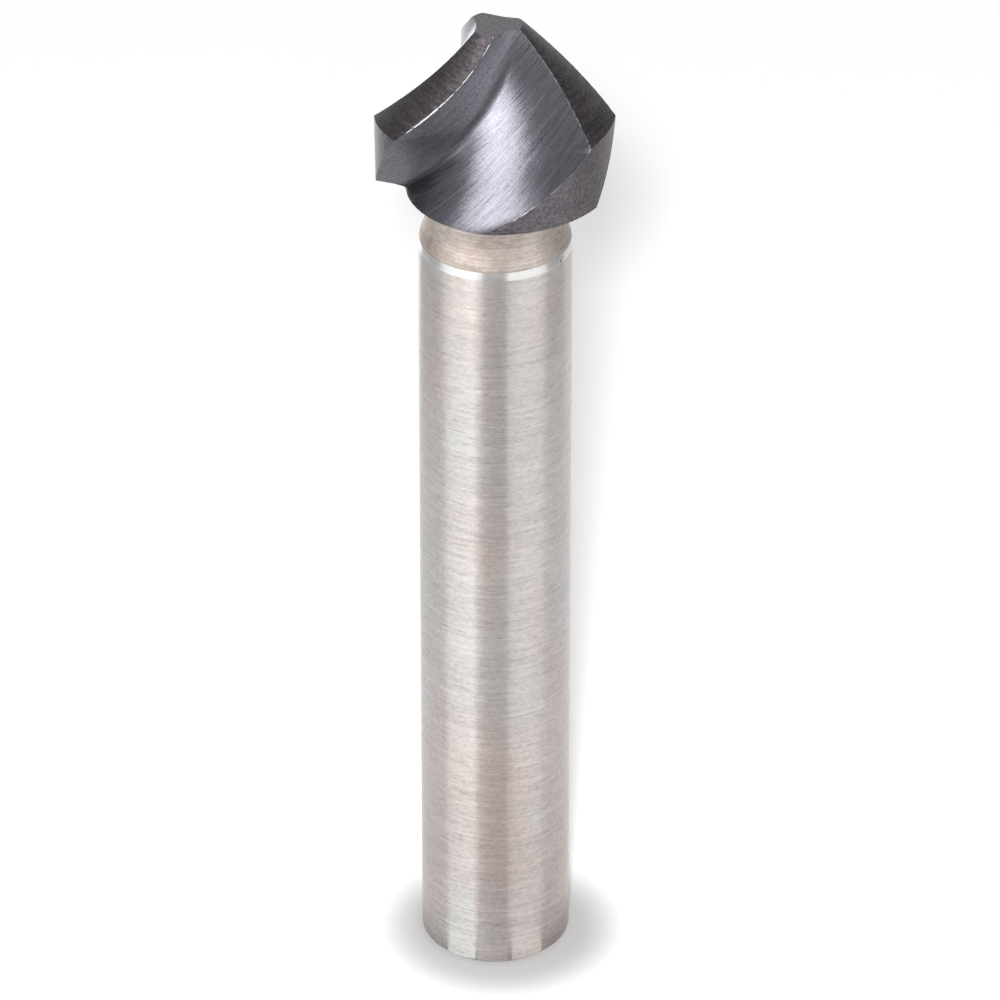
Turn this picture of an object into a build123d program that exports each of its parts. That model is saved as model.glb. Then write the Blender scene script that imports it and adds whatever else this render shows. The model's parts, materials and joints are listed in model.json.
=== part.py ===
from build123d import *
from math import asin, cos, degrees, hypot, radians, sin, tan
import os

# Three-flute 90 degree countersink bit with a plain straight shank.
# It is turned and ground from one bar, so it is one solid.
# Millimetres. The origin is on the axis at the flat end of the shank, and +Z runs to the tip.
# The bit cuts anticlockwise seen from the tip: each tooth has its cutting edge at that end.

# ---- The bar ----
OVERALL_LENGTH = 56.0
SHANK_DIAMETER = 8.0
SHANK_END_CHAMFER = 0.3
RING_LENGTH = 0.45              # run-out of the grinding, nearly full size
RING_DROP = 0.06                # what the ring loses on the radius
NECK_DIAMETER = 7.1
NECK_LENGTH = 3.55              # from the ring to the underside of the head
NECK_ROUND_LENGTH = 1.5         # rounded fall from the ring to the neck
NECK_FILLET = 0.5               # where the neck meets the head

# ---- The head ----
HEAD_LENGTH = 8.8               # from the underside to the tip
HEAD_DIAMETER = 12.4
BODY_TAPER = 0.05               # what the body loses on the radius from the shoulder to the underside
TIP_DIAMETER = 2.8
CONE_ANGLE = 90.0               # between opposite cutting edges

# ---- The teeth and flutes: angles are in degrees seen from the tip, depths run down from it ----
TOOTH_SPREAD = (0.0, 21.7, 5.0)     # unequal spacing: extra turn at the underside, none at the tip
EDGE_ANGLE = 245.0              # direction of the first tooth's cutting edge, far out
EDGE_TWIST = 64.2               # degrees of turn from the tip to the underside
EDGE_OFFSET = 0.5               # the line of the cutting edges passes the axis by this much
ROOT_ANGLE = 300.0              # direction of the flute's root at the tip
ROOT_TWIST = 106.5              # degrees of turn from the tip to the underside
ROOT_RADIUS = 0.88              # distance of the root from the axis at the tip
ROOT_RISE = 0.437               # the root leaves the axis by this for each millimetre of depth
HEEL_AT_TIP = (218.0, 337.4, 118.0)         # direction of each tooth's heel
HEEL_AT_SHOULDER = (183.0, 320.8, 66.0)
HEEL_AT_UNDERSIDE = (140.0, 267.0, 32.0)
HEEL_DROP = 0.4                 # the relieved heel meets the body this far below the edge's shoulder
BACK_RADIUS_AT_TIP = 12.0       # bow of the flute's back, from the root to the heel
BACK_RADIUS_AT_UNDERSIDE = 4.65
ROOT_FILLET_AT_TIP = 1.9
ROOT_FILLET_AT_UNDERSIDE = 0.5
SECTION_COUNT = 9               # sections that each flute is lofted through
CUTTER_MARGIN = 0.3             # how far the flute cutters run past the metal
CUTTER_CLEARANCE = 2.2          # how far the cutters reach past the head's radius

# ---- The relief of the lands ----
RELIEF_TILT = 2.7               # tilt of the cone that each land is ground on
RELIEF_DIRECTION = 35.0         # where it leans, ahead of that tooth's cutting edge at the tip
RELIEF_STOCK = 0.3              # left on the turned cone for grinding the lands

# ---- Worked out from the sizes above ----
shank_radius = SHANK_DIAMETER / 2
ring_radius = shank_radius - RING_DROP
neck_radius = NECK_DIAMETER / 2
head_radius = HEAD_DIAMETER / 2
body_back_radius = head_radius - BODY_TAPER
tip_radius = TIP_DIAMETER / 2
cone_slope = tan(radians(CONE_ANGLE / 2))
cone_length = (head_radius - tip_radius) / cone_slope
underside_height = OVERALL_LENGTH - HEAD_LENGTH
shoulder_height = OVERALL_LENGTH - cone_length
body_length = shoulder_height - underside_height
turned_tip_radius = tip_radius + RELIEF_STOCK * cone_slope
heel_shoulder_depth = cone_length + HEEL_DROP
ring_top = underside_height - NECK_LENGTH
shank_length = ring_top - RING_LENGTH
neck_start = ring_top + NECK_ROUND_LENGTH
tilt = radians(RELIEF_TILT)
cutter_reach = head_radius + CUTTER_CLEARANCE
tooth_count = len(TOOTH_SPREAD)
tooth_pitch = 360 / tooth_count


def polar(radius, angle):
    """Return the point at a radius and an angle in degrees."""
    return (radius * cos(radians(angle)), radius * sin(radians(angle)))


def run_out(inner, outer, radius):
    """Carry the line from inner through outer on to a circle about the axis."""
    length = hypot(outer[0] - inner[0], outer[1] - inner[1])
    along_x = (outer[0] - inner[0]) / length
    along_y = (outer[1] - inner[1]) / length
    inward = outer[0] * along_x + outer[1] * along_y
    reach = (inward**2 + radius**2 - outer[0] ** 2 - outer[1] ** 2) ** 0.5 - inward
    return (outer[0] + along_x * reach, outer[1] + along_y * reach)


def body_radius_at(depth):
    """Return the radius of the unfluted body, which tapers a little towards the shank."""
    on_body = max(depth - cone_length, 0)
    return head_radius - BODY_TAPER * on_body / body_length


def head_radius_at(depth):
    """Return the radius of the unfluted head at a depth below the tip."""
    return min(tip_radius + depth * cone_slope, body_radius_at(depth))


def blend(at_tip, at_underside, depth):
    """Return a size that changes evenly from the tip to the underside."""
    share = max(depth, 0) / HEAD_LENGTH
    return at_tip + (at_underside - at_tip) * share


def tooth_turn(tooth, depth):
    """Return how far a tooth is turned from the first: its pitch, and a spread that grows from the tip."""
    remaining = 1 - max(depth, 0) / HEAD_LENGTH
    return tooth * tooth_pitch + TOOTH_SPREAD[tooth] * (1 - remaining**2)


def edge_angle(tooth, depth):
    """Return the direction of a tooth's cutting edge at a depth below the tip."""
    past_axis = degrees(asin(EDGE_OFFSET / head_radius_at(depth)))
    return tooth_turn(tooth, depth) + EDGE_ANGLE - EDGE_TWIST * depth / HEAD_LENGTH + past_axis


def root_angle(tooth, depth):
    """Return the direction of the root of the flute ahead of a tooth."""
    return tooth_turn(tooth, depth) + ROOT_ANGLE - ROOT_TWIST * depth / HEAD_LENGTH


def heel_angle(tooth, depth):
    """Return the direction of a tooth's heel: a slow turn down the cone, a faster one down the body."""
    cone_turn = (HEEL_AT_SHOULDER[tooth] - HEEL_AT_TIP[tooth]) / heel_shoulder_depth
    body_turn = (HEEL_AT_UNDERSIDE[tooth] - HEEL_AT_SHOULDER[tooth]) / (HEAD_LENGTH - heel_shoulder_depth)
    on_cone = min(depth, heel_shoulder_depth)
    on_body = depth - on_cone
    return HEEL_AT_TIP[tooth] + cone_turn * on_cone + body_turn * on_body


def land_cone(tooth):
    """Return the lean, the slope and the apex of the tilted cone through a tooth's cutting edge."""
    lean = edge_angle(tooth, 0) + RELIEF_DIRECTION
    tip_lift = tan(tilt) * cos(radians(RELIEF_DIRECTION))
    shoulder_lift = tan(tilt) * cos(radians(lean - edge_angle(tooth, cone_length)))
    rise = head_radius - tip_radius - cone_length * shoulder_lift
    run = cone_length + head_radius * shoulder_lift - tip_radius * tip_lift
    slope = rise / run
    return lean, slope, tip_radius / slope - tip_radius * tip_lift


def land_radius(tooth, angle, depth):
    """Return how far out a tooth's relieved land lies in a direction, at a depth below the tip."""
    lean, slope, apex = land_cone(tooth)
    lift = tan(tilt) * cos(radians(angle - lean))
    return (slope * (depth + apex) + depth * lift) / (1 - slope * lift)


def flute_section(tooth, next_tooth, depth):
    """Draw a flute's section: a tooth's rake face, a filleted root and a crowned back to the next tooth."""
    edge = polar(head_radius_at(depth), edge_angle(tooth, depth))
    root = polar(ROOT_RADIUS + ROOT_RISE * depth, root_angle(tooth, depth))
    heel_direction = heel_angle(next_tooth, depth)
    heel_radius = min(land_radius(next_tooth, heel_direction, depth), body_radius_at(depth))
    heel = polar(heel_radius, heel_direction)
    back_radius = blend(BACK_RADIUS_AT_TIP, BACK_RADIUS_AT_UNDERSIDE, depth)
    chord = hypot(heel[0] - root[0], heel[1] - root[1])
    crown = chord / (8 * back_radius)
    middle = (
        (root[0] + heel[0]) / 2 + crown * (heel[1] - root[1]),
        (root[1] + heel[1]) / 2 - crown * (heel[0] - root[0]),
    )
    edge_outer = run_out(root, edge, cutter_reach)
    with BuildSketch(Plane.XY.offset(OVERALL_LENGTH - depth)) as section:
        with BuildLine():
            Line(edge_outer, root)
            to_heel = ThreePointArc(root, middle, heel, mode=Mode.PRIVATE)
            past_heel = 1 + CUTTER_MARGIN / to_heel.length
            back = ThreePointArc(root, middle, to_heel @ past_heel)
            tangent_end = back @ 1 + back % 1
            back_end = ((back @ 1).X, (back @ 1).Y)
            back_outer = run_out(back_end, (tangent_end.X, tangent_end.Y), cutter_reach)
            Line(back_end, back_outer)
            rim_x = edge_outer[0] + back_outer[0]
            rim_y = edge_outer[1] + back_outer[1]
            rim_scale = cutter_reach / hypot(rim_x, rim_y)
            ThreePointArc(back_outer, (rim_x * rim_scale, rim_y * rim_scale), edge_outer)
        make_face()
        root_corner = section.vertices().sort_by_distance(root)[0]
        fillet(root_corner, blend(ROOT_FILLET_AT_TIP, ROOT_FILLET_AT_UNDERSIDE, depth))
    return section.sketch


# ---- The flutes: what the grinding wheel takes away ----
flute_cutters = []
first_depth = -CUTTER_MARGIN
section_pitch = (HEAD_LENGTH + 2 * CUTTER_MARGIN) / (SECTION_COUNT - 1)
for tooth in range(tooth_count):
    next_tooth = (tooth + 1) % tooth_count
    sections = []
    for step in range(SECTION_COUNT):
        sections.append(flute_section(tooth, next_tooth, first_depth + step * section_pitch))
    with BuildPart() as flute_cutter:
        loft(sections)
    flute_cutters.append(flute_cutter.part)

# ---- The relief: each land lies on a cone that leans ahead, so it falls away behind its edge ----
relief_cutters = []
seam_depth = cone_length / 3    # neighbouring cutters meet inside the flutes
cone_depth = 2 * HEAD_LENGTH
for tooth in range(tooth_count):
    lean, land_slope, apex = land_cone(tooth)
    lean_x, lean_y = polar(1, lean)
    cone_axis = Vector(-sin(tilt) * lean_x, -sin(tilt) * lean_y, cos(tilt))
    side_axis = Vector(-lean_y, lean_x, 0)
    land_plane = Plane((0, 0, OVERALL_LENGTH), x_dir=cone_axis.cross(side_axis), z_dir=side_axis)
    behind = root_angle((tooth - 1) % tooth_count, seam_depth)
    ahead = root_angle(tooth, seam_depth)
    sector = (ahead - behind) % 360
    with BuildPart() as relief_cutter:
        with BuildSketch(Plane.XY.offset(underside_height)):
            with BuildLine():
                Line((0, 0), polar(cutter_reach, behind))
                ThreePointArc(
                    polar(cutter_reach, behind),
                    polar(cutter_reach, behind + sector / 2),
                    polar(cutter_reach, behind + sector),
                )
                Line(polar(cutter_reach, behind + sector), (0, 0))
            make_face()
        extrude(amount=cone_depth)
        with BuildSketch(land_plane):
            with BuildLine():
                Polyline(
                    (0, apex),
                    ((apex + cone_depth) * land_slope, -cone_depth),
                    (0, -cone_depth),
                    close=True,
                )
            make_face()
        revolve(axis=Axis((0, 0, OVERALL_LENGTH), cone_axis), mode=Mode.SUBTRACT)
    relief_cutters.append(relief_cutter.part)

# ---- The bit: one bar, turned, then relieved and fluted ----
with BuildPart() as countersink_bit:
    with BuildSketch(Plane.XZ) as profile:
        with BuildLine():
            Line((0, 0), (shank_radius - SHANK_END_CHAMFER, 0))
            Line((shank_radius - SHANK_END_CHAMFER, 0), (shank_radius, SHANK_END_CHAMFER))
            Line((shank_radius, SHANK_END_CHAMFER), (shank_radius, shank_length))
            Line((shank_radius, shank_length), (ring_radius, ring_top))
            Spline(
                (ring_radius, ring_top),
                (neck_radius, neck_start),
                tangents=((-RING_DROP, RING_LENGTH), (0, 1)),
            )
            Line((neck_radius, neck_start), (neck_radius, underside_height))
            Line((neck_radius, underside_height), (body_back_radius, underside_height))
            Line((body_back_radius, underside_height), (head_radius, shoulder_height))
            Line((head_radius, shoulder_height), (head_radius, shoulder_height + RELIEF_STOCK))
            Line((head_radius, shoulder_height + RELIEF_STOCK), (turned_tip_radius, OVERALL_LENGTH))
            Line((turned_tip_radius, OVERALL_LENGTH), (0, OVERALL_LENGTH))
            Line((0, OVERALL_LENGTH), (0, 0))
        make_face()
        under_head = profile.vertices().sort_by_distance((neck_radius, underside_height))[0]
        fillet(under_head, NECK_FILLET)
    revolve(axis=Axis.Z)
    for cutter in relief_cutters:
        add(cutter, mode=Mode.SUBTRACT)
    for cutter in flute_cutters:
        add(cutter, mode=Mode.SUBTRACT)

countersink_bit.part.label = "countersink_bit"
os.makedirs("parts", exist_ok=True)
export_step(countersink_bit.part, "parts/countersink_bit.step")
print("shoulder height", round(shoulder_height, 3), "body", round(body_length, 3))
print("volume", round(countersink_bit.part.volume, 2), "solids", len(countersink_bit.part.solids()))
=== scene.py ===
# %% [markdown]
# # A countersink bit in Blender
#
# This lesson dresses one turned and ground cutting tool. A countersink bit opens the mouth of a
# drilled hole so that a screw head can sink into it. The real tool is a single bar of high-speed
# steel. Its shank is ground bright for the chuck, its neck is left as turned, and its head has
# three teeth and three spiral flutes under a thin dark coating.
#
# The construction model is loaded first. It is the fixed frame: it says where the tool stands and
# how large it is. Everything below is worked out in millimetres and put into Blender in metres.

# %% Load the frame
import json

import bpy
import numpy as np
from mathutils import Matrix, Vector


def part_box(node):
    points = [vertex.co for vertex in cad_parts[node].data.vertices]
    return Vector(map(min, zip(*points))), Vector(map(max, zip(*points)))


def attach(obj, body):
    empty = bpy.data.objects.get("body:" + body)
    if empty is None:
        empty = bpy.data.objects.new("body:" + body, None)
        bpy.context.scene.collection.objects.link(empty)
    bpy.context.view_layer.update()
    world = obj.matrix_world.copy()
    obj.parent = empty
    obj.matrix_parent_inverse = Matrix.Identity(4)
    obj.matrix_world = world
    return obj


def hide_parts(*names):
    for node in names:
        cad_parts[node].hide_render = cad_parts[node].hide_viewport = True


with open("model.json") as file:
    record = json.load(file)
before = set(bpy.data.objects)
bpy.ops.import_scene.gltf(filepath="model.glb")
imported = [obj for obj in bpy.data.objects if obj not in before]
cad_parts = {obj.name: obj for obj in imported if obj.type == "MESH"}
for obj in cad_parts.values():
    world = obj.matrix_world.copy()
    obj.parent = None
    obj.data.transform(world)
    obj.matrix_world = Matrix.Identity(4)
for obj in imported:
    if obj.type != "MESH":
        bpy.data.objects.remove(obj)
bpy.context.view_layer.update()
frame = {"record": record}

METRE = 0.001
low_corner, high_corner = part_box("countersink_bit")
overall_length = (high_corner.z - low_corner.z) / METRE
print("length of the tool in millimetres:", round(overall_length, 3))

# %% [markdown]
# ## The sizes of the tool
#
# The shank's radius comes from the record's own mount, so that the picture and the record can't
# disagree. The rest are the sizes of the turned blank and of the grinding of the head, as a maker
# would read them from its drawing.

# %% Sizes of the turned blank
mounts = {mount["name"]: mount for mount in frame["record"]["mounts"]}
shank_radius = mounts["shank"]["dims"]["r_mm"]
end_chamfer = 0.3
ring_length = 0.45
ring_radius = shank_radius - 0.05
neck_radius = 3.55
neck_length = 3.55
neck_round_length = 1.5
neck_fillet = 0.5
head_length = 8.8
head_radius = 6.2
body_taper = 0.05
tip_radius = 1.4
cone_length = head_radius - tip_radius
underside = overall_length - head_length
ring_top = underside - neck_length
ring_bottom = ring_top - ring_length
shoulder_height = overall_length - cone_length
print("the ring ends", round(ring_top, 2), "mm above the shank's end")

# %% [markdown]
# ## How the teeth turn
#
# Seen from the tip, each tooth has a leading cutting edge and a trailing heel, and a flute lies
# between one tooth's edge and the next tooth's heel. Edge, root and heel wind round the axis as
# they go down the head, so each is a direction, in degrees, as a function of the depth below the
# tip. The functions take whole arrays of depths, and one call gives a line for the whole head.
#
# The teeth aren't evenly spaced, which breaks up the regular beat that makes a countersink chatter.

# %% Directions of the edges, roots and heels
tooth_pitch = 120.0
tooth_spread = (0.0, 21.7, 5.0)
edge_start, edge_twist, edge_offset = 245.0, 64.2, 0.5
root_start, root_twist, root_radius, root_rise = 300.0, 106.5, 0.88, 0.437
heel_at_tip = (218.0, 337.4, 118.0)
heel_at_shoulder = (183.0, 320.8, 66.0)
heel_at_underside = (140.0, 267.0, 32.0)
heel_shoulder = cone_length + 0.4


def body_radius(depth):
    """The head's radius, less a little taper in proportion to the depth below the cone."""
    below = np.maximum(depth - cone_length, 0)
    return head_radius - body_taper * below / (head_length - cone_length)


def cone_radius(depth):
    """The tip's radius plus the depth, as the cone is 90 degrees, but no more than the body's radius."""
    return np.minimum(tip_radius + depth, body_radius(depth))


def tooth_turn(tooth, depth):
    """A whole pitch for each tooth, plus a spread that follows a parabola from the tip to the underside."""
    left = 1 - depth / head_length
    return tooth * tooth_pitch + tooth_spread[tooth] * (1 - left**2)


def edge_direction(tooth, depth):
    """A steady turn with depth, plus the angle by which the edge's line passes the axis."""
    past_axis = np.degrees(np.arcsin(edge_offset / cone_radius(depth)))
    return tooth_turn(tooth, depth) + edge_start - edge_twist * depth / head_length + past_axis


def root_direction(tooth, depth):
    """A steady turn with depth, faster than the edge's."""
    return tooth_turn(tooth, depth) + root_start - root_twist * depth / head_length


def heel_direction(tooth, depth):
    """A straight run from the tip to the shoulder, and a steeper one from there to the underside."""
    places = (0.0, heel_shoulder, head_length)
    return np.interp(depth, places, (heel_at_tip[tooth], heel_at_shoulder[tooth], heel_at_underside[tooth]))


for tooth in range(3):
    print("tooth", tooth, "edge turns from", edge_direction(tooth, np.array([0.0, head_length])).round(1))

# %% [markdown]
# ## The relieved lands
#
# Behind its cutting edge each land falls away a little, or the tool would rub instead of cut. One
# way is to lower the land by hand. A truer way is the grinder's: the land lies on a cone that leans
# towards the cutting edge. A leaning cone seen from above has a radius that swells and shrinks with
# the direction, which gives the fall in one formula.

# %% The leaning cone of a land
relief_lean = np.tan(np.radians(2.7))
relief_ahead = 35.0


def land_cone(tooth):
    """The lean's direction, the slope and the apex of the cone through a tooth's whole cutting edge."""
    lean = edge_direction(tooth, 0.0) + relief_ahead
    tip_lift = relief_lean * np.cos(np.radians(relief_ahead))
    shoulder_lift = relief_lean * np.cos(np.radians(lean - edge_direction(tooth, cone_length)))
    rise = head_radius - tip_radius - cone_length * shoulder_lift
    run = cone_length + head_radius * shoulder_lift - tip_radius * tip_lift
    slope = rise / run
    return lean, slope, tip_radius / slope - tip_radius * tip_lift


def land_radius(tooth, direction, depth):
    """Slope times the depth below the apex, plus the lean's share, over one less the lean's share."""
    lean, slope, apex = land_cone(tooth)
    lift = relief_lean * np.cos(np.radians(direction - lean))
    return (slope * (depth + apex) + depth * lift) / (1 - slope * lift)


def tooth_radius(tooth, direction, depth):
    """The smaller of the land's and the body's radius."""
    return np.minimum(land_radius(tooth, direction, depth), body_radius(depth))


def land_direction(tooth, share, depth):
    """The heel's direction plus a share of the angle on to the edge, which is less than a whole turn."""
    heel, edge = heel_direction(tooth, depth), edge_direction(tooth, depth)
    return heel + ((edge - heel) % 360) * share


def shoulder_depth(tooth, share):
    """The depth where the land reaches the body, by repeated substitution of the depth so far."""
    lean, slope, apex = land_cone(tooth)
    depth = np.full_like(share, cone_length)
    for _ in range(30):
        lift = relief_lean * np.cos(np.radians(land_direction(tooth, share, depth) - lean))
        depth = (body_radius(depth) * (1 - slope * lift) - slope * apex) / (slope + lift)
    return depth


heel_depths = [float(shoulder_depth(tooth, np.zeros(1))[0]) for tooth in range(3)]
print("the heels meet the body at depths of", np.round(heel_depths, 2), "mm")

# %% [markdown]
# ## One section through the head
#
# Cut level, the head is a three-armed shape. Going round it anticlockwise, each tooth gives four
# runs: the land from heel to edge, the straight rake face in to the root, the small round of the
# root, and the bowed back of the flute out to the next heel.
#
# Each run is its own function of a share from 0 to 1, so that the corners between the runs are
# always columns of the mesh, which keeps the cutting edges crisp.

# %% Corners of a flute
back_radius_at_tip, back_radius_at_underside = 12.0, 4.65
fillet_at_tip, fillet_at_underside = 1.9, 0.5


def polar(radius, direction):
    """Radius times the cosine and the sine of the direction, along a new last axis."""
    angle = np.radians(direction)
    return np.stack([radius * np.cos(angle), radius * np.sin(angle)], axis=-1)


def dot(a, b):
    """The sum of the products of the coordinates, kept as a last axis of one."""
    return (a * b).sum(axis=-1, keepdims=True)


def unit(vector):
    """The vector over its own length."""
    return vector / np.sqrt(dot(vector, vector))


def flute_corners(tooth, depth):
    """The edge, the root's round as its start, centre and end, the back's centre, and the next heel.

    The back is an arc bowed out from its chord by the chord squared over eight radii. The round
    touches the rake's line and this arc, so its centre lies where a line parallel to the rake meets
    a circle about the arc's centre.
    """
    following = (tooth + 1) % 3
    edge = polar(cone_radius(depth), edge_direction(tooth, depth))
    root = polar(root_radius + root_rise * depth, root_direction(tooth, depth))
    heel_turn = heel_direction(following, depth)
    heel = polar(tooth_radius(following, heel_turn, depth), heel_turn)
    share = (depth / head_length)[..., None]
    crown_radius = back_radius_at_tip + (back_radius_at_underside - back_radius_at_tip) * share
    round_radius = fillet_at_tip + (fillet_at_underside - fillet_at_tip) * share
    chord = heel - root
    length = np.sqrt(dot(chord, chord))
    bow = length**2 / (8 * crown_radius)
    back_radius = crown_radius + bow / 2
    outward = np.stack([chord[..., 1], -chord[..., 0]], axis=-1) / length
    back_centre = (root + heel) / 2 + (bow - back_radius) * outward
    along_rake = unit(edge - root)
    into_flute = np.stack([-along_rake[..., 1], along_rake[..., 0]], axis=-1)
    offset = root + round_radius * into_flute - back_centre
    slide = dot(offset, along_rake)
    reach = np.sqrt(slide**2 - dot(offset, offset) + (back_radius + round_radius) ** 2) - slide
    round_start = root + reach * along_rake
    round_centre = round_start + round_radius * into_flute
    round_end = back_centre + (round_centre - back_centre) * back_radius / (back_radius + round_radius)
    return edge, round_start, round_centre, round_end, back_centre, heel


def arc(centre, start, end, share):
    """A turn about the centre from start to end by the shorter way, in proportion to the share."""
    first, last = start - centre, end - centre
    across = first[..., 0] * last[..., 1] - first[..., 1] * last[..., 0]
    sweep = np.arctan2(across, (first * last).sum(-1)) * share
    cosine, sine = np.cos(sweep), np.sin(sweep)
    x = centre[..., 0] + first[..., 0] * cosine - first[..., 1] * sine
    y = centre[..., 1] + first[..., 0] * sine + first[..., 1] * cosine
    return np.stack([x, y], axis=-1)


def at_depth(flat, depth):
    """Flat places with a height, which is the tool's length less the depth."""
    return np.concatenate([flat, (overall_length - depth)[..., None]], axis=-1)


print("the root's round:", fillet_at_tip, "mm at the tip and", fillet_at_underside, "mm below")


# %% The four runs of one tooth
def land_run(tooth, share, depth):
    """The tooth's radius in each direction from heel to edge."""
    turn = land_direction(tooth, share, depth)
    return polar(tooth_radius(tooth, turn, depth), turn)


def rake_run(tooth, share, depth):
    """A straight line from the cutting edge to the start of the root's round."""
    edge, round_start, *_ = flute_corners(tooth, depth)
    return edge + (round_start - edge) * share[..., None]


def root_run(tooth, share, depth):
    """An arc about the round's centre."""
    _, round_start, round_centre, round_end, *_ = flute_corners(tooth, depth)
    return arc(round_centre, round_start, round_end, share)


def back_run(tooth, share, depth):
    """An arc about the back's centre, out to the next tooth's heel."""
    *_, round_end, back_centre, heel = flute_corners(tooth, depth)
    return arc(back_centre, round_end, heel, share)


for run in (land_run, rake_run, root_run, back_run):
    start = run(0, np.zeros(1), np.full(1, cone_length))[0]
    print(run.__name__, "starts", round(float(np.hypot(*start)), 2), "mm from the axis at the shoulder")

# %% [markdown]
# ## The grid of the head
#
# The head is one grid: its columns go round the section and its rows go down from the tip. The rows
# could be level. Here they bend so that one of them follows the shoulder, where the cone turns into
# the body, and that corner is then as crisp as the cutting edges. Each column also keeps the number
# of its run, which later says what finish its faces get.
#
# A heel turns a corner at the shoulder, and a straight blend would carry it across the whole back
# of the flute as a faint crease. A grinding wheel leaves none, so a mean along the back takes it
# out.

# %% Rows and columns of the head
run_shapes = ((land_run, 26), (rake_run, 18), (root_run, 8), (back_run, 40))
rows_on_cone, rows_on_body = 72, 50
mean_reach, heel_margin = 12, 5


def column_depths(tooth):
    """Each column's shoulder depth: the land's own on the land, and an even blend across the flute."""
    land_share = np.linspace(0, 1, run_shapes[0][1], endpoint=False)
    flute_share = np.linspace(0, 1, sum(count for _, count in run_shapes[1:]), endpoint=False)
    flute = cone_length + (heel_depths[(tooth + 1) % 3] - cone_length) * flute_share
    return np.concatenate([shoulder_depth(tooth, land_share), flute])


def head_grid():
    """Points of the head in millimetres, rows by columns by three, and the run number of each column."""
    cone_share = np.linspace(0, 1, rows_on_cone, endpoint=False)[:, None]
    body_share = np.linspace(0, 1, rows_on_body)[:, None]
    points, runs = [], []
    for tooth in range(3):
        shoulder = column_depths(tooth)
        depth = np.concatenate([shoulder * cone_share, shoulder + (head_length - shoulder) * body_share])
        start = 0
        for number, (run, count) in enumerate(run_shapes):
            share = np.linspace(0, 1, count, endpoint=False)[None, :]
            part_depth = depth[:, start : start + count]
            flat = run(tooth, np.broadcast_to(share, part_depth.shape), part_depth)
            points.append(at_depth(flat, part_depth))
            runs.append(np.full(count, number))
            start += count
    return np.concatenate(points, axis=1), np.concatenate(runs)


def heel_gap(runs):
    """How many columns each column lies before the next heel."""
    count = len(runs)
    heels = np.flatnonzero((runs == 0) & (np.roll(runs, 1) == 3))
    return ((heels[None, :] - np.arange(count)[:, None]) % count).min(axis=1)


def ease_backs(points, runs):
    """Each row of the backs becomes a weighted mean of its neighbours, less so near the ends and the heel."""
    weight = np.hanning(2 * mean_reach + 3)[1:-1]
    padded = np.concatenate([points[:1].repeat(mean_reach, 0), points, points[-1:].repeat(mean_reach, 0)])
    mean = sum(w * padded[k : k + len(points)] for k, w in enumerate(weight / weight.sum()))
    row = np.arange(len(points))
    inside = np.clip(np.minimum(row, row[::-1]) / (2.0 * mean_reach) - 0.5, 0, 1)[:, None]
    from_heel = np.where(runs == 3, np.clip(heel_gap(runs) / heel_margin, 0, 1), 0)
    share = (inside * from_heel)[..., None]
    return points * (1 - share) + mean * share


head_points, column_run = head_grid()
head_points = ease_backs(head_points, column_run)
row_count, column_count = head_points.shape[:2]
print("head grid:", row_count, "rows of", column_count, "columns")

# %% [markdown]
# ## The turned part
#
# Below the head the tool is round, so a profile of radius against height says it all, as it does
# for the lathe. It could be a few points and a bevel. Here it is built run by run instead: the end
# face, the chamfer that guides the shank into the chuck, the shank, a narrow ring, the soft fall to
# the neck, the neck and the round under the head.
#
# Two things make it look machined. Each outer corner is broken by a tiny round, because a real
# corner always catches a line of light. And the neck keeps the marks of the turning tool, as
# grooves two thousandths of a millimetre deep.

# %% Runs of the profile
def straight(start, end, pitch=2.0, end_row=0.03):
    """Even steps from point to point, with one more row close to each end to keep the shading flat."""
    start, end = np.array(start), np.array(end)
    length = np.hypot(*(end - start))
    near_end = min(end_row / length, 0.2)
    share = np.linspace(near_end, 1 - near_end, max(int(length / pitch), 1) + 1)
    share = np.concatenate([[0.0], share, [1.0]])
    return start + (end - start) * share[:, None]


def broken_corner(before, corner, after, size=0.05):
    """A quadratic curve from one line to the next, each left at the given distance from their corner."""
    corner = np.array(corner)
    start, end = (corner + (point - corner) * size / np.hypot(*(point - corner)) for point in (before, after))
    share = np.linspace(0, 1, 5)[:, None]
    return start * (1 - share) ** 2 + corner * 2 * share * (1 - share) + end * share**2


def soft_fall(start, end, leaving, arriving, rows=60):
    """A cubic curve through two points with the given slopes at its ends."""
    share = np.linspace(0, 1, rows)[:, None]
    leave = (share**3 - 2 * share**2 + share) * np.array(leaving)
    arrive = (share**3 - share**2) * np.array(arriving)
    blend = 3 * share**2 - 2 * share**3
    return np.array(start) * (1 - blend) + np.array(end) * blend + leave + arrive


end_corner = (shank_radius - end_chamfer, 0.0)
shank_start = (shank_radius, end_chamfer)
shank_end = (shank_radius, ring_bottom)
ring_end = (ring_radius, ring_top)
neck_start = (neck_radius, ring_top + neck_round_length)
end_break = broken_corner((0.0, 0.0), end_corner, shank_start)
chamfer_break = broken_corner(end_corner, shank_start, shank_end)
print("the ring starts at a height of", round(ring_bottom, 2))

# %% The whole profile
groove_pitch, groove_depth = 0.2, 0.002
ring_power = 1.2
innermost_radius = 1.2


def rounded_ring(rows=9):
    """The radius falls with a power of the share of the ring's height, so it steepens towards the neck."""
    share = np.linspace(0, 1, rows)
    radius = shank_radius - (shank_radius - ring_radius) * share**ring_power
    return np.stack([radius, ring_bottom + ring_length * share], axis=-1)


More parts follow.
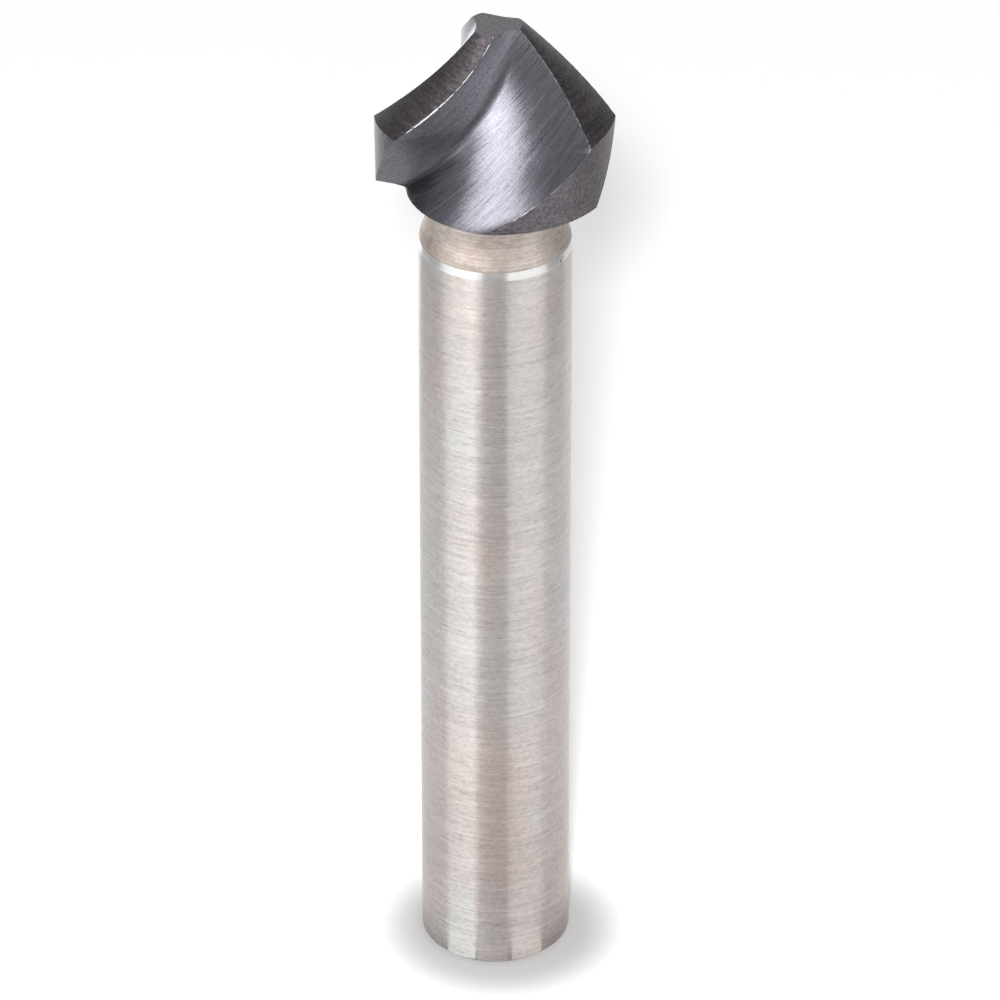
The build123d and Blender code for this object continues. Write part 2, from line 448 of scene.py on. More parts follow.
def neck_rows():
    """The fall, the straight neck and the round under the head, all sunk by a row of shallow scallops."""
    fall = soft_fall(ring_end, neck_start, (-0.2, 1.685), (0.0, 1.9))
    centre_radius, centre_height = neck_radius + neck_fillet, underside - neck_fillet
    neck = np.stack([np.full(60, neck_radius), np.linspace(neck_start[1], centre_height, 60)], axis=-1)
    turn = np.radians(np.linspace(0, 90, 10))
    inward, upward = neck_fillet * np.cos(turn), neck_fillet * np.sin(turn)
    under_head = np.stack([centre_radius - inward, centre_height + upward], axis=-1)
    profile = np.concatenate([fall[:-1], neck[:-1], under_head])
    height = profile[:, 1]
    fade = np.clip((height - ring_top) / 0.3, 0, 1) * np.clip((underside - 0.6 - height) / 0.2, 0, 1)
    profile[:, 0] -= groove_depth * fade * np.abs(np.sin(np.pi * height / groove_pitch))
    return profile


profile_runs = (
    ("end", straight((innermost_radius, 0.0), end_break[0])),
    ("shank", end_break[1:-1]),
    ("shank", straight(end_break[-1], chamfer_break[0])),
    ("shank", chamfer_break[1:-1]),
    ("shank", straight(chamfer_break[-1], shank_end, pitch=1.5)[:-1]),
    ("ring", rounded_ring()[:-1]),
    ("neck", neck_rows()),
)
profile = np.concatenate([points for _, points in profile_runs])
profile_part = np.concatenate([np.full(len(points), name) for name, points in profile_runs])
print("turned profile:", len(profile), "rows")

# %% [markdown]
# ## One closed skin
#
# The turned part, the underside, the head and the tip face are joined into one grid, and each end
# closes in a single point. The turned rows have evenly spaced columns. On the flat underside, where
# it can't be seen, the columns slide round to where the head needs them. The corners of each face
# go round anticlockwise as seen from outside, so that the faces point outwards.

# %% Rows of the whole tool
head_rows = head_points[::-1]
outline = head_rows[0]
outline_turn = np.unwrap(np.arctan2(outline[:, 1], outline[:, 0]))
even_turn = np.arange(column_count) * 2 * np.pi / column_count
even_turn = even_turn + (outline_turn - even_turn).mean()


def round_points(radius, turn, height):
    """Radius times the cosine and the sine of the turn, at a height, all spread to one shape."""
    return np.stack(np.broadcast_arrays(radius * np.cos(turn), radius * np.sin(turn), height), axis=-1)


def slide_out(share):
    """Radius and direction both go in proportion from the neck's round to the head's outline."""
    radius = profile[-1, 0] + (np.hypot(outline[:, 0], outline[:, 1]) - profile[-1, 0]) * share
    return round_points(radius, even_turn + (outline_turn - even_turn) * share, underside)


turned_rows = round_points(profile[:, :1], even_turn, profile[:, 1:])
under_shares, tip_shares = (0.1, 0.4, 0.7, 0.95), (0.97, 0.75, 0.4)
under_rows = np.stack([slide_out(share) for share in under_shares])
tip_rows = np.stack([head_rows[-1] * (share, share, 1) for share in tip_shares])
rows = np.concatenate([turned_rows, under_rows, head_rows, tip_rows])
print("whole skin:", rows.shape[0], "rows of", rows.shape[1], "columns")

# %% Faces of the skin
row_total = len(rows)
lower = np.arange(row_total - 1)[:, None] * column_count
upper = lower + column_count
column = np.arange(column_count)[None, :]
following = (column + 1) % column_count
quads = np.stack([lower + column, lower + following, upper + following, upper + column], axis=-1)
bottom_pole, top_pole = row_total * column_count, row_total * column_count + 1
last_row = (row_total - 1) * column_count
bottom_fan = np.stack([np.full(column_count, bottom_pole), following[0], column[0]], axis=-1)
top_fan = np.stack([last_row + column[0], last_row + following[0], np.full(column_count, top_pole)], axis=-1)
print("faces:", quads.shape[0] * quads.shape[1] + 2 * column_count)

# %% [markdown]
# ## Which finish goes where
#
# The tool is one piece of steel with seven finishes. They could be seven pieces of mesh, but then
# the skin would have seams. Instead each face gets the number of its finish: a turned row by its
# part of the profile, and a row of the head by its run and by its side of the shoulder.

# %% Finish of each face
finish_names = (
    "ground_shank", "ground_ring", "turned_neck", "coated_land", "coated_body", "coated_flute", "coated_tip",
)
finish = {name: number for number, name in enumerate(finish_names)}
band = np.full((row_total - 1, column_count), finish["ground_shank"])
turned_count, under_count = len(turned_rows), len(under_rows)
band[: turned_count - 1][profile_part[:-1] == "ring"] = finish["ground_ring"]
band[: turned_count - 1][profile_part[:-1] == "neck"] = finish["turned_neck"]
band[turned_count - 1 : turned_count + under_count] = finish["coated_body"]
head_first = turned_count + under_count
cone_first, tip_first = head_first + rows_on_body - 1, head_first + row_count - 1
land_columns = column_run == 0
band[head_first:tip_first] = np.where(land_columns, finish["coated_body"], finish["coated_flute"])
band[cone_first:tip_first, land_columns] = finish["coated_land"]
band[tip_first:] = finish["coated_tip"]
for name, number in finish.items():
    print(name, "has", int((band == number).sum()), "faces in the band")

# %% [markdown]
# ## Where the edges are
#
# Wear and honing follow the edges of the tool. A finish could find edges by their bend, but the
# formulas above already say exactly where they run. Each point gets its distance to the nearest
# cutting edge and to the nearest heel, as named attributes of the mesh that the materials read. A
# third attribute is 1 on the rake faces and falls to 0 across the root.

# %% Distances to the edges
points = np.concatenate([rows.reshape(-1, 3), [[0.0, 0.0, 0.0], [0.0, 0.0, overall_length]]])
head_part = points[:, 2] > underside - 1.0
far_away = 9.0


def distance_to(line):
    """The shortest distance from each point of the head to the points of a line; far away elsewhere."""
    away = np.full(len(points), far_away)
    for piece in np.array_split(line, 8):
        gap = points[head_part][:, None] - piece
        away[head_part] = np.minimum(away[head_part], np.sqrt((gap**2).sum(-1)).min(axis=1))
    return away


def edge_line(tooth, direction, radius, samples=240):
    """A tooth's edge or heel as points in space, from the tip to the underside."""
    depth = np.linspace(0, head_length, samples)
    turn = direction(tooth, depth)
    return at_depth(polar(radius(tooth, turn, depth), turn), depth)


def edge_radius(tooth, turn, depth):
    """Every cutting edge lies on the cone, whatever its tooth and direction."""
    return cone_radius(depth)


cutting_edges = [edge_line(tooth, edge_direction, edge_radius) for tooth in range(3)]
heels = [edge_line(tooth, heel_direction, tooth_radius) for tooth in range(3)]
rake_columns = np.where(column_run == 1, 1.0, 0.0)
rake_columns[column_run == 2] = np.tile(np.linspace(1, 0, run_shapes[2][1], endpoint=False), 3)
rake_rows = np.zeros(rows.shape[:2])
rake_rows[head_first : head_first + row_count] = rake_columns
rake_share = np.concatenate([rake_rows.reshape(-1), [0.0, 0.0]])
edge_distance = np.minimum.reduce([distance_to(line) for line in cutting_edges])
heel_distance = np.minimum.reduce([distance_to(line) for line in heels])
print("points close to a cutting edge:", int((edge_distance < 0.1).sum()))

# %% [markdown]
# ## The path of the grinding wheel
#
# The wheel crosses each flute on a slant and leaves its marks along that slant. A map on the mesh
# says how far along and how far across those marks each corner of each face lies. The three flutes
# have the same marks, so a corner's place is first turned back by its own tooth's share of the
# circle.

# %% Map of the grinding marks
wheel_path = np.array([0.74, 0.14, 0.66])
wheel_across = np.array([-0.66, -0.10, 0.74])
face_tooth = np.broadcast_to(np.arange(column_count) * 3 // column_count, band.shape)


def grinding_map(faces):
    """Each corner's place, turned back by its tooth's turn, measured along the path and across it."""
    corners = np.array([face + (face[-1],) * (4 - len(face)) for face in map(tuple, faces)])
    counts = np.array([len(face) for face in faces])
    tooth_of_face = np.concatenate([face_tooth.reshape(-1), face_tooth[0], face_tooth[0]])
    turn = -np.radians(tooth_pitch) * tooth_of_face[:, None]
    x, y, z = np.moveaxis(points[corners], -1, 0)
    turned = np.stack([x * np.cos(turn) - y * np.sin(turn), x * np.sin(turn) + y * np.cos(turn), z], axis=-1)
    values = np.stack([turned @ wheel_path, turned @ wheel_across], axis=-1)
    return values[np.arange(4)[None, :] < counts[:, None]]


climb = np.degrees(np.arctan2(wheel_path[2], np.hypot(*wheel_path[:2])))
print("the wheel's path climbs at", round(float(climb)), "degrees")

# %% [markdown]
# ## Into Blender
#
# Up to here the tool is only arrays, and one mesh takes them all. It could be shaded flat or smooth
# all over. Here every face is smooth, and an edge is kept sharp where its two faces meet at more
# than a set angle, so the rounds look round and the cutting edges stay crisp. The piece stands for
# the construction solid and moves with the tool's one body.

# %% Put the tool into Blender
sharp_angle = 28.0


def put(name, data):
    """A new object at the origin, in the scene."""
    thing = bpy.data.objects.new(name, data)
    bpy.context.scene.collection.objects.link(thing)
    return thing


def make_tool():
    """Corners in metres, faces from the grid, and smooth shading up to the sharp angle."""
    mesh = bpy.data.meshes.new("countersink_tool")
    faces = quads.reshape(-1, 4).tolist() + bottom_fan.tolist() + top_fan.tolist()
    mesh.from_pydata((points * METRE).tolist(), [], faces)
    numbers = np.concatenate([
        band.reshape(-1),
        np.full(column_count, finish["ground_shank"]),
        np.full(column_count, finish["coated_tip"]),
    ])
    mesh.polygons.foreach_set("material_index", numbers.astype(np.int32))
    mesh.polygons.foreach_set("use_smooth", np.ones(len(faces), dtype=bool))
    named = {"edge_distance": edge_distance, "heel_distance": heel_distance, "rake_share": rake_share}
    for name, values in named.items():
        attribute = mesh.attributes.new(name, "FLOAT", "POINT")
        attribute.data.foreach_set("value", values.astype(np.float32))
    grinding = mesh.uv_layers.new(name="grinding")
    grinding.data.foreach_set("uv", grinding_map(faces).astype(np.float32).reshape(-1))
    mesh.set_sharp_from_angle(angle=np.radians(sharp_angle))
    mesh.update()
    return put("countersink_tool", mesh)


tool = make_tool()
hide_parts("countersink_bit")
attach(tool, "root")
print("triangles:", sum(len(polygon.vertices) - 2 for polygon in tool.data.polygons))

# %% [markdown]
# ## Shader maths that reads like Python
#
# A finish is worked out from numbers: where a point is, how far it is from an edge, what a noise
# says there. In the node editor such maths is a long chain of Math nodes. It is easier to read as
# an expression, so one small class stands for a socket. Adding or multiplying two of them adds the
# Math node, and one method adds every other kind of node.

# %% A wire between shader nodes
def set_inputs(node, values):
    """Each input of a node gets its value, or a link where the value is a wire."""
    for name, value in values.items():
        if isinstance(value, Wire):
            value.tree.links.new(value.socket, node.inputs[name])
        else:
            node.inputs[name].default_value = value


class Wire:
    """An output socket of a material's node tree; arithmetic on wires adds Math nodes."""

    def __init__(self, tree, socket=None):
        self.tree, self.socket = tree, socket

    def node(self, kind, settings, inputs, output=0):
        """One output of a new node with the given settings and inputs."""
        node = self.tree.nodes.new("ShaderNode" + kind)
        for name, value in settings.items():
            setattr(node, name, value)
        set_inputs(node, inputs)
        return Wire(self.tree, node.outputs[output])

    def maths(self, operation, *values):
        """A Math node of the given operation on numbers or wires."""
        return self.node("Math", {"operation": operation}, dict(enumerate(values)))

    def __add__(self, other):
        return self.maths("ADD", self, other)

    def __sub__(self, other):
        return self.maths("SUBTRACT", self, other)

    def __rsub__(self, other):
        return self.maths("SUBTRACT", other, self)

    def __mul__(self, other):
        return self.maths("MULTIPLY", self, other)

    __radd__, __rmul__ = __add__, __mul__

    def step(self, low, high):
        """0 below low, 1 above high and a smooth rise between; low may be the larger, for a fall."""
        if low > high:
            return 1 - self.step(high, low)
        settings = {"interpolation_type": "SMOOTHSTEP", "clamp": True}
        return self.node("MapRange", settings, {"Value": self, "From Min": low, "From Max": high})

    def noise(self, scales, detail=3.0, roughness=0.5, offset=(0.0, 0.0, 0.0)):
        """Noise of a vector wire times the scales, about 0.5 on average."""
        spot = self.node("VectorMath", {"operation": "MULTIPLY_ADD"}, {0: self, 1: scales, 2: offset})
        inputs = {"Vector": spot, "Scale": 1.0, "Detail": detail, "Roughness": roughness}
        return self.node("TexNoise", {}, inputs)

    def colour_scale(self, colour):
        """A colour wire with each of its parts multiplied by this wire."""
        return self.node("VectorMath", {"operation": "SCALE"}, {0: colour, 3: self})

    def colour(self, first, second):
        """The first colour where this wire is 0 and the second where it is 1."""
        settings = {"data_type": "RGBA", "clamp_factor": True}
        return self.node("Mix", settings, {0: self, 6: first, 7: second}, output=2)


print("a wire knows", len(vars(Wire)), "names")

# %% [markdown]
# ## A start for each finish
#
# All the finishes are bare or coated metal, so each ends in one Principled shader. Each starts from
# the point's place in millimetres. The object never moves away from the origin, so Object
# coordinates are the place on the tool itself.

# %% Start and end of a finish
def place(wire):
    """Object coordinates in millimetres."""
    metres = wire.node("TexCoord", {}, {}, output="Object")
    return wire.node("VectorMath", {"operation": "SCALE"}, {0: metres, 3: 1 / METRE})


def height_of(here):
    """How far a place lies above the shank's end."""
    return here.node("SeparateXYZ", {}, {0: here}, output=2)


def distance_from(here, spot):
    """How far a place lies from a spot, in a straight line."""
    return here.node("VectorMath", {"operation": "DISTANCE"}, {0: here, 1: spot}, output="Value")


def attribute(wire, name):
    """A named number of the mesh."""
    return wire.node("Attribute", {"attribute_name": name}, {}, output="Fac")


def new_material(piece, name):
    """A piece's next material, given back as its Principled shader and its node tree."""
    material = bpy.data.materials.new(name)
    material.use_nodes = True
    piece.data.materials.append(material)
    return material.node_tree.nodes["Principled BSDF"], material.node_tree


def finish_metal(make, anisotropy=0.0):
    """Give the tool the finish named after make, which says its colour, roughness, metal, height and depth.

    The anisotropy spreads the light across marks that run round the axis, which takes a quarter turn.
    """
    shader, tree = new_material(tool, make.__name__)
    colour, roughness, metal, height, depth = make(Wire(tree))
    bump = Wire(tree).node("Bump", {}, {"Strength": 1.0, "Distance": depth * METRE, "Height": height})
    set_inputs(shader, {"Base Color": colour, "Roughness": roughness, "Metallic": metal, "Normal": bump})
    if anisotropy:
        set_inputs(shader, {"Anisotropic": anisotropy, "Anisotropic Rotation": 0.25})
    print(make.__name__, "is finish", finish[make.__name__], "with", len(tree.nodes), "nodes")


print("finishes:", *finish)

# %% [markdown]
# ## The shank: ground bright
#
# The grinding wheel leaves very fine lines that run round the shank, and light spreads across such
# lines, so the shank shows bands along its length. Anisotropy gives that spread without a line
# drawn, and a fine noise stretched round the tool gives the lines themselves. Storage leaves warm,
# cloudy stains in long patches.

# %% Ground shank
def ground_shank(wire):
    """Two greys mixed by clouds, times lines, bands and grain about 1, less dashes, and darker near the end.
    """
    here = place(wire)
    lines = here.noise((0.45, 0.45, 6.0), detail=4.0, roughness=0.7)
    bands = here.noise((0.05, 0.05, 1.3), detail=2.0, offset=(3.0, 1.0, 7.0))
    clouds = here.noise((0.26, 0.26, 0.10), detail=4.0, roughness=0.6, offset=(5.0, 2.0, 0.5))
    grain = here.noise((3.5, 3.5, 6.0), roughness=0.7, offset=(1.0, 8.0, 2.0))
    dashes = here.noise((1.3, 1.3, 8.0), detail=2.0, roughness=0.6, offset=(9.0, 4.0, 6.0)).step(0.36, 0.28)
    height = height_of(here)
    stains = (clouds + (20.0 - height) * 0.004).step(0.36, 0.62)
    tone = stains.colour((0.447, 0.427, 0.415, 1), (0.455, 0.396, 0.379, 1))
    # The shank is made a little darker towards its end on the floor.
    darker_near_end = height.step(15.0, 6.0) * 0.09
    texture = (lines - 0.5) * 0.7 + (bands - 0.5) * 0.15 + (grain - 0.5) * 0.6 + 1.03
    colour = (texture - dashes * 0.25 - darker_near_end).colour_scale(tone)
    rough = 0.27 + (bands - 0.5) * 0.06 + (lines - 0.5) * 0.08 + height.step(33.0, 43.0) * 0.04
    return colour, rough, 1.0, lines * 0.7 + grain * 0.3, 0.002


finish_metal(ground_shank, anisotropy=0.9)

# %% [markdown]
# ## The ring
#
# Where the shank ends, the wheel leaves a narrow bright chamfer, smoother than the shank. A small
# knock on its edge is dark and sunk. The knock could be cut into the mesh, but it is only a quarter
# of a millimetre wide, so a distance from its middle is enough.

# %% Ground ring
knock_middle = (3.32, -2.15, 43.36)


def ground_ring(wire):
    """Two bright greys mixed by patches, darkened in the knock; the height is the lines less the knock."""
    here = place(wire)
    lines = here.noise((0.2, 0.2, 16.0))
    patches = here.noise((0.5, 0.5, 1.0), detail=2.0)
    colour = patches.step(0.3, 0.7).colour((0.57, 0.565, 0.56, 1), (0.66, 0.65, 0.64, 1))
    knock = distance_from(here, knock_middle).step(0.13, 0.04)
    dark = (1 - knock * 0.75).colour_scale(colour)
    return dark, 0.26 + (lines - 0.5) * 0.1 + knock * 0.3, 1.0, lines - knock * 8.0, 0.002


finish_metal(ground_ring, anisotropy=0.7)

# %% [markdown]
# ## The neck: as turned
#
# The neck is never ground. It keeps the marks of the turning tool and a faint straw colour from the
# heat of hardening, a little darker where dirt stays in the grooves.

# %% Turned neck
def turned_neck(wire):
    """Straw grey, darker in the grooves by a sine of the height and by noise stretched round the neck."""
    here = place(wire)
    groove = wire.maths("ABSOLUTE", wire.maths("SINE", height_of(here) * (np.pi / groove_pitch)))
    lines = here.noise((0.4, 0.4, 7.0), roughness=0.6)
    grain = here.noise((2.2, 2.2, 4.0), detail=4.0, roughness=0.7, offset=(6.0, 3.0, 1.0))
    clouds = here.noise((0.5, 0.5, 0.4))
    dirt = groove * 0.08 + lines * 0.18 + grain * 0.72 + (clouds - 0.5) * 0.5
    colour = dirt.step(0.22, 0.78).colour((0.475, 0.43, 0.403, 1), (0.285, 0.238, 0.207, 1))
    return colour, 0.6 + (lines - 0.5) * 0.2, 1.0, lines * 0.5 + grain * 0.5, 0.006


finish_metal(turned_neck, anisotropy=0.3)

# %% [markdown]
# ## The coated head
#
# The head carries a hard coating a few thousandths of a millimetre thick, nearly black with a
# violet cast. It copies every mark of the grinding under it. Each face was ground another way, so
# each gets its own marks over the same coating. The coating is gone along the honed cutting edges,
# and a near-white line is painted there: partly the bare steel, partly a painted highlight where
# the honed edge catches the light. The coating is also rubbed in specks along the heels. A line of
# even width looks drawn, so noise says how wide the wear and the painted highlight are from place
# to place.

# %% Wear along the edges of the head
# Near-white: bare steel brightened into a painted highlight of the honed edge.
bare_steel_glint = (0.80, 0.79, 0.78, 1)
rubbed_coating = (0.26, 0.255, 0.26, 1)


def worn(wire, coat, rough):
    """The coating's colour, roughness and metal, turned by the edge to a near-white line, bare steel with a
    painted highlight, and rubbed by a heel.
    """
    here = place(wire)
    patches = here.noise((0.9, 0.9, 0.9), detail=2.0, offset=(2.0, 5.0, 3.0))
    specks = here.noise((6.0, 6.0, 6.0), roughness=0.7)
    on_cone = height_of(here).step(shoulder_height - 0.05, shoulder_height + 0.15)
    width = (patches - 0.38) * 0.15 * on_cone + (specks - 0.5) * 0.05 + 0.006
    # Painted highlight: along the cutting edge the colour goes to near-white, partly bare steel and partly
    # the glint of the honed edge.
    honed_edge_glint = (width - attribute(wire, "edge_distance")).step(-0.006, 0.010)
    heel_width = (patches - 0.5) * 0.08 + (specks - 0.5) * 0.16 + 0.03
    rubbed = (heel_width - attribute(wire, "heel_distance")).step(-0.01, 0.02)
    colour = honed_edge_glint.colour(rubbed.colour(coat, rubbed_coating), bare_steel_glint)
    return colour, wire.maths("MAXIMUM", rough, honed_edge_glint * 0.4), 1 - honed_edge_glint * 0.7


print("bare steel is", round(bare_steel_glint[0] / rubbed_coating[0], 1), "times as bright as rubbed coating")

# %% Coated lands
def coated_land(wire):
    """Marks round the axis, as the relief wheel leaves them, fine grain, and pale strokes by the edge."""
    here = place(wire)
    marks = here.noise((0.5, 0.5, 7.0), detail=4.0, roughness=0.65)
    grain = here.noise((6.0, 6.0, 6.0), roughness=0.7)
    strokes = here.noise((1.1, 1.1, 9.0), roughness=0.7, offset=(7.0, 2.0, 4.0))
    pale = attribute(wire, "edge_distance").step(0.9, 0.1) * strokes.step(0.56, 0.72) * 0.55
    shade = marks * 0.4 + grain * 0.6
    coat = shade.step(0.32, 0.7).colour((0.040, 0.035, 0.039, 1), (0.100, 0.089, 0.096, 1))
    stroked = pale.colour(coat, rubbed_coating)
    return *worn(wire, stroked, 0.44 + (marks - 0.5) * 0.2), marks * 0.5 + grain * 0.5, 0.007


finish_metal(coated_land)


# %% Coated body
def coated_body(wire):
    """The same marks and grain over a paler coating, because the outside is ground again at the end."""
    here = place(wire)
    marks = here.noise((0.35, 0.35, 5.0), detail=4.0, roughness=0.65)
    grain = here.noise((5.5, 5.5, 5.5), roughness=0.7)
    shade = marks * 0.3 + grain * 0.7
    coat = shade.step(0.32, 0.70).colour((0.074, 0.067, 0.075, 1), (0.172, 0.158, 0.170, 1))
    return *worn(wire, coat, 0.42 + (marks - 0.5) * 0.2), marks * 0.4 + grain * 0.6, 0.007


finish_metal(coated_body)

# %% [markdown]
# ## The flutes and the flat tip
#
# A flute is ground in one long pass, so its marks are long streaks along the wheel's path. Noise on
# Object coordinates would lie across them at places, so it is read on the map of the grinding marks
# and stretched along the path. The rake face has finer marks, and its coating is painted paler as
# painted reflected light. The root between it and the back is darkened as painted shade. The flat
# tip has only grain.

# %% Coated flute
def coated_flute(wire):
    """Streaks along the wheel's path, fine and broad, over a coating with painted light: paler on the rake
    face, dark in the root.
    """
    path = wire.node("UVMap", {"uv_map": "grinding"}, {})
    fine = path.noise((0.6, 22.0, 1.0), roughness=0.75)
    broad = path.noise((0.25, 4.0, 1.0), detail=2.0, offset=(4.0, 9.0, 0.0))
    here = place(wire)
    grain = here.noise((10.0, 10.0, 10.0), roughness=0.7)
    rake = attribute(wire, "rake_share")
    scratches = fine.step(0.44, 0.34)
    smooth = rake * 0.35
    streaks = fine * (0.5 - smooth) + broad * 0.22 + grain * (0.28 + smooth)
    coat = streaks.step(0.3, 0.7).colour((0.050, 0.050, 0.059, 1), (0.120, 0.118, 0.134, 1))
    # Painted shade: the coating is darkened across the root, the crease between the rake and the back.
    root = rake * (1 - rake) * 4.0
    # The flute's coating is made paler towards the tip and darker near the underside.
    paler_towards_tip = height_of(here).step(47.5, 54.0) * 0.3 - 0.1
    # Painted light: the rake face is painted paler and the root darker; the scratches are real grinding
    # marks.
    coat_with_painted_light = (1.0 + paler_towards_tip + rake * 0.6 - root * 0.65 - scratches * 0.25).colour_scale(coat)
    rough = 0.23 + rake * 0.25 + (fine - 0.5) * (0.2 - smooth * 0.3) + (broad - 0.5) * 0.08
    return *worn(wire, coat_with_painted_light, rough), fine * (0.85 - smooth) + grain * (0.15 + smooth), 0.009


finish_metal(coated_flute)


# %% Coated tip
def coated_tip(wire):
    """A flat ground face: grain over a slightly paler coating."""
    here = place(wire)
    grain = here.noise((5.0, 5.0, 5.0), roughness=0.7)
    coat = grain.step(0.3, 0.7).colour((0.066, 0.060, 0.066, 1), (0.122, 0.114, 0.123, 1))
    return *worn(wire, coat, 0.42 + (grain - 0.5) * 0.1), grain, 0.007


finish_metal(coated_tip)

# %% [markdown]
# ## The white room
#
# The tool stands in a plain white room. A strong white world would light it from all sides and wash
# out its shape. So the world is at half strength as light, and at full strength for what is seen
# straight on, in a mirror or through glass. Light Path tells a material which kind of ray asks.

# %% World
fill = 0.5


def seen_directly(wire):
    """1 for a ray from the eye, off a mirror or through glass, and 0 for one that gathers soft light."""
    names = [f"Is {kind} Ray" for kind in ("Camera", "Glossy", "Transmission")]
    eye, mirror, glass = (wire.node("LightPath", {}, {}, output=name) for name in names)
    return wire.maths("MAXIMUM", wire.maths("MAXIMUM", eye, mirror), glass)


world = bpy.data.worlds.new("white_room")
bpy.context.scene.world = world
world.use_nodes = True
sky = world.node_tree.nodes["Background"]
strength = fill + seen_directly(Wire(world.node_tree)) * (1 - fill)
set_inputs(sky, {"Strength": strength, "Color": (1, 1, 1, 1)})
print("the room is 1 to the eye and", fill, "as a light")

# %% [markdown]
# ## The floor
#
# The floor is white card. It has to show the tool's shadow and still look white around it, so it
# reflects most of the light and glows a little for the eye. Close round the foot both are turned
# down in a soft round, a painted contact shadow where the light of a room hardly gets in.

# %% Floor
half_floor, square = 0.6, ((-1, -1), (1, -1), (1, 1), (-1, 1))
# Centre, outer and inner radius in millimetres, and depth of the painted contact shadow round the foot.
foot, painted_shadow_start, painted_shadow_end, painted_shadow_depth = (0.3, -0.4, 0.0), 7.6, 4.2, 0.47
card_white, card_glow, plain_white = (0.8, 0.8, 0.8), 0.32, (1.0, 1.0, 1.0)


def plain_mesh(name, corners):
    """One flat face with the given corners, as an object in the scene."""
    mesh = bpy.data.meshes.new(name)
    mesh.from_pydata([tuple(corner) for corner in corners], [], [(0, 1, 2, 3)])
    return put(name, mesh)


def dull_inputs(colour, glow, strength):
    """What a card without any gloss needs: its colour, its glow's colour and strength."""
    glowing = {"Emission Color": glow, "Emission Strength": strength}
    return {"Base Color": colour, "Roughness": 1.0, "Specular IOR Level": 0.0, **glowing}


def make_floor():
    """A square; its light is 1 less a painted shadow that grows smoothly from its start to its end by the
    foot.
    """
    floor = plain_mesh("floor", [(half_floor * x, half_floor * y, 0) for x, y in square])
    shader, tree = new_material(floor, "pale_floor")
    wire = Wire(tree)
    # Painted shadow: the floor's colour and glow are darkened in a soft round about the foot.
    light = 1 - distance_from(place(wire), foot).step(painted_shadow_start, painted_shadow_end) * painted_shadow_depth
    glow = seen_directly(wire) * light * card_glow
    set_inputs(shader, dull_inputs(light.colour_scale(card_white), glow.colour_scale(plain_white), 1.0))
    return floor


floor = make_floor()
print("floor:", 2 * half_floor, "m square")

# %% [markdown]
# ## Soft boxes
#
# A polished tool shows its lamps more than their light. A soft box is a large even lamp, and four
# of them are placed only for what they leave in the metal: the key gives the long light in the
# front flute, and the others keep the neck, the edges and the far side from going flat. One small
# strong lamp does the opposite: it casts the shadow on the floor and is in no reflection.
#
# A lamp could be moved about by hand. Here two angles from the head place it and two more give its
# width and height, so each number says directly where its reflection lies.

# %% Soft boxes
aim = Vector((0, 0, 0.045))


def facing(azimuth, elevation, distance, roll=0.0):
    """Place and turn of a thing that is out along a direction from the head and faces it."""
    turn, lift = np.radians(azimuth), np.radians(elevation)
    toward = Vector((np.sin(turn) * np.cos(lift), -np.cos(turn) * np.cos(lift), np.sin(lift)))
    spin = Matrix.Rotation(turn, 4, "Z") @ Matrix.Rotation(np.pi / 2 - lift, 4, "X")
    return Matrix.Translation(toward * distance + aim) @ spin @ Matrix.Rotation(np.radians(roll), 4, "Z")


def across(angle, distance):
    """The size of a thing that fills an angle at a distance: twice the distance times the half's tangent."""
    return 2 * distance * np.tan(np.radians(angle / 2))


def soft_box(name, azimuth, elevation, wide, high, radiance, roll=0.0, distance=0.6):
    """An area lamp that fills the given angles; its power is pi times its area times its radiance."""
    data = bpy.data.lights.new(name, "AREA")
    data.shape = "RECTANGLE"
    data.size, data.size_y = across(wide, distance), across(high, distance)
    data.energy = np.pi * data.size * data.size_y * radiance
    lamp = put(name, data)
    lamp.matrix_world = facing(azimuth, elevation, distance, roll)
    print(name, "gives", round(data.energy, 1), "W")
    return lamp


boxes = (
    ("key", -38.5, 34, 49, 30, 8.8, -41),
    ("left_box", -62, 13, 24, 12, 3.0, 0),
    ("right_box", 50, 18, 38, 26, 3.4, 0),
    ("back_box", 154, 37, 38, 24, 3.0, -41),
)
for box in boxes:
    soft_box(*box).visible_diffuse = False
soft_box("front", -1.7, 32, 3.0, 3.0, 1080.0).visible_glossy = False

# %% [markdown]
# ## Flags and cards
#
# Round bright metal mirrors the room in upright bands, which a photographer shapes with flags and
# cards. Flags are dark and stand beside the head, so that its edges come out dark on the white
# room. Cards lie on the floor, because an upright shank that is seen from above mirrors the floor.
# Each card gives one band, and its sides run away from the shank in just the direction that the
# band's edge mirrors, so the band keeps its edge from top to bottom. The far cards are seen in the
# ring, which mirrors the floor further out.
#
# They could be lamps, but lamps so near would light the tool too. Only reflections see a card.

# %% Glowing cards
def glowing_card(name, corners, radiance, tint=plain_white):
    """A flat card of four corners that only reflections see; its glow is the same all over."""
    card = plain_mesh(name, corners)
    set_inputs(new_material(card, name)[0], dull_inputs((0, 0, 0, 1), (*tint, 1), radiance))
    card.visible_camera = card.visible_diffuse = card.visible_shadow = False
    print(name, "glows at", radiance)


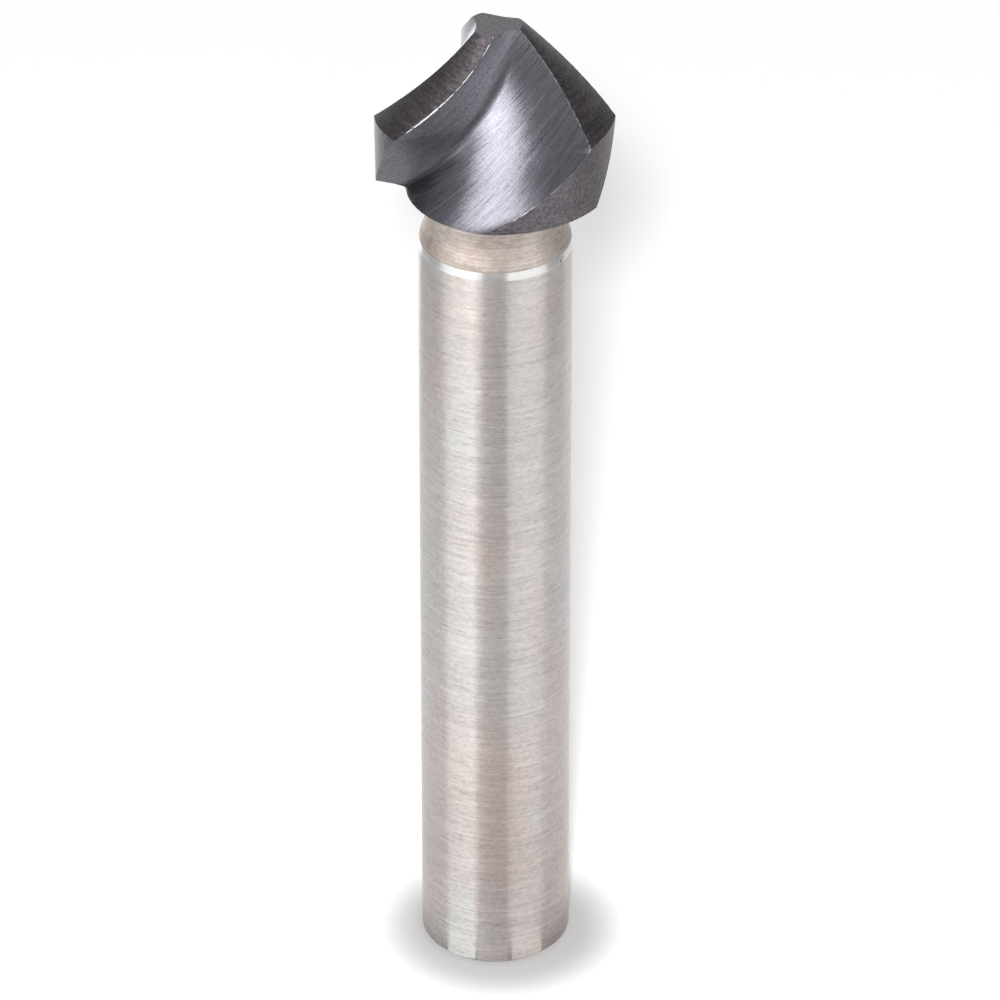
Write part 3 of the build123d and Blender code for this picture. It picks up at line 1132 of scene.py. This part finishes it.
def flag(name, azimuth, elevation, wide, high, radiance, distance=0.5):
    """A dark card that faces the head from a direction and fills the given angles."""
    half_wide, half_high = across(wide, distance) / 2, across(high, distance) / 2
    stand = facing(azimuth, elevation, distance)
    corners = [stand @ Vector((half_wide * x, half_high * y, 0)) for x, y in square]
    glowing_card(name, corners, radiance)


flag("right_flag", 110, 28, 48, 46, 0.3)
flag("left_flag", -128, 18, 44, 34, 0.45)


# %% Cards on the floor
card_height = 0.2


def card_corner(azimuth, distance):
    """Half the azimuth round the shank, and from there the distance along the azimuth, in metres."""
    half, whole = np.radians(azimuth / 2), np.radians(azimuth)
    x = shank_radius * np.sin(half) + distance * np.sin(whole)
    y = -shank_radius * np.cos(half) - distance * np.cos(whole)
    return np.array((x, y, card_height)) * METRE


def floor_card(name, start, end, near, far, radiance, tint=plain_white):
    """A card between two azimuths, from the near to the far distance out from the shank."""
    corners = [card_corner(*corner) for corner in ((start, near), (end, near), (end, far), (start, far))]
    glowing_card(name, corners, radiance, tint)


floor_cards = (
    ("left_card", -80, -32, 0.0, 240.0, 1.6, (0.955, 1.0, 1.0)),
    ("middle_card", -27, 19, 0.0, 95.0, 0.92, (1.0, 0.97, 0.965)),
    ("far_middle_card", -19, 16, 95.0, 240.0, 0.12),
    ("far_left_card", -136, -86, 95.0, 240.0, 0.4),
    ("far_right_card", 79, 118, 95.0, 240.0, 0.28),
    ("right_card", 26, 77, 0.0, 240.0, 1.28),
    ("back_card", -172, -136, 98.0, 300.0, 3.4),
)
for card in floor_cards:
    floor_card(*card)

# %% [markdown]
# ## The camera
#
# The camera looks down on the tool from a third of a metre away, through a long lens, which keeps
# the shank's sides parallel. It could be aimed at a target, but a place and one tilt are plainer
# and can't drift.

# %% Camera
camera = put("camera", bpy.data.cameras.new("camera"))
camera.data.lens, camera.data.sensor_width = 258.1, 36.0
camera.location = (0.000247, -0.319518, 0.230481)
camera.rotation_euler = (np.radians(57.564), 0, 0)
bpy.context.scene.camera = camera
bpy.context.scene.view_settings.view_transform = "Standard"
print("the camera is", round(camera.location.length, 3), "m from the shank's end")

# %% [markdown]
# ## The sizes at the end
#
# The looks may not change the size of the tool.
